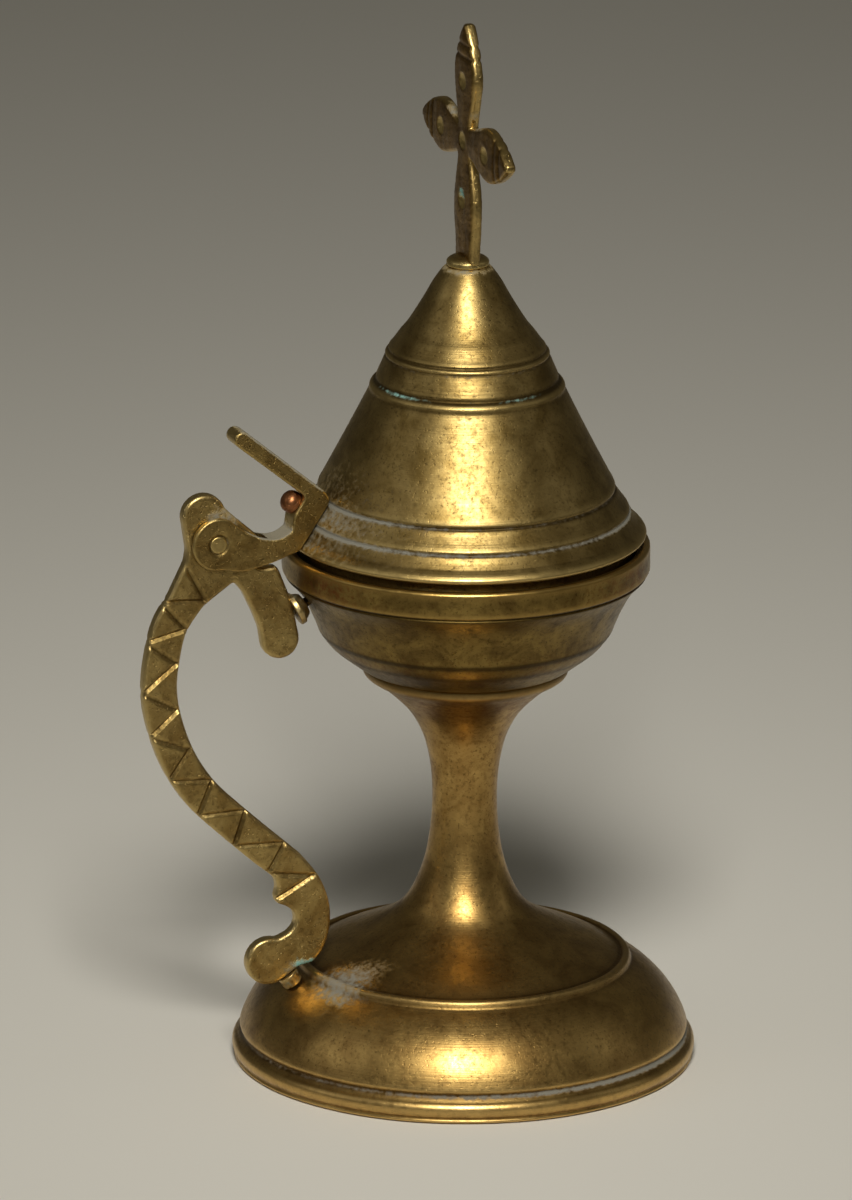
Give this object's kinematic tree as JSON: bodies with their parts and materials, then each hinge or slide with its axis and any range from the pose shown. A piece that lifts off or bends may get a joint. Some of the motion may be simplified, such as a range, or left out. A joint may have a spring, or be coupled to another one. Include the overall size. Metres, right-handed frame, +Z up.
{
  "type": "incense burner",
  "caption": "Standing hand censer in aged brass: bell foot on a waisted stem, round charcoal bowl, flat side handle and a hinged conical lid with thumb lever and cross.",
  "frame": {"origin": "on the table, at the centre of the foot's bottom ring, on the axis of foot, bowl and lid", "axes": "+Z up along the stem; the handle stands in the XZ plane on the -X side; the lid's hinge pin lies along Y; the cross faces along X"},
  "size_m": [0.1115, 0.09, 0.2071],
  "materials": {
    "foot": "aged, tarnished",
    "bowl": "aged, coppery patches",
    "bowl_screw": "sooty",
    "bowl_washer": "sooty",
    "handle": "cast, worn",
    "upper_stud": "aged, verdigris",
    "upper_stud_washer": "sooty",
    "lower_stud": "aged, verdigris",
    "lower_stud_washer": "aged",
    "lid": "aged, tarnished",
    "cross": "cast, worn",
    "cross_washer": "sooty",
    "lid_leaf": "cast, worn, dusty",
    "leaf_rivet": "copper, worn",
    "rivet_washer": "sooty",
    "hinge_pin": "worn flush"
  },
  "bodies": {
    "burner": {"foot": "foot", "bowl": "bowl", "bowl_screw": "bowl_screw", "bowl_washer": "bowl_washer", "handle": "handle", "upper_stud": "upper_stud", "upper_stud_washer": "upper_stud_washer", "lower_stud": "lower_stud", "lower_stud_washer": "lower_stud_washer"},
    "lid_assembly": {"lid": "lid", "cross": "cross", "cross_washer": "cross_washer", "lid_leaf": "lid_leaf", "leaf_rivet": "leaf_rivet", "rivet_washer": "rivet_washer", "hinge_pin": "hinge_pin"}
  },
  "joints": [
    {"name": "lid_hinge", "type": "hinge", "parent": "burner", "child": "lid_assembly", "pos_m": [-0.0516, 0, 0.1089], "axis": [0, -1, 0], "range_deg": [0, 100]}
  ]
}
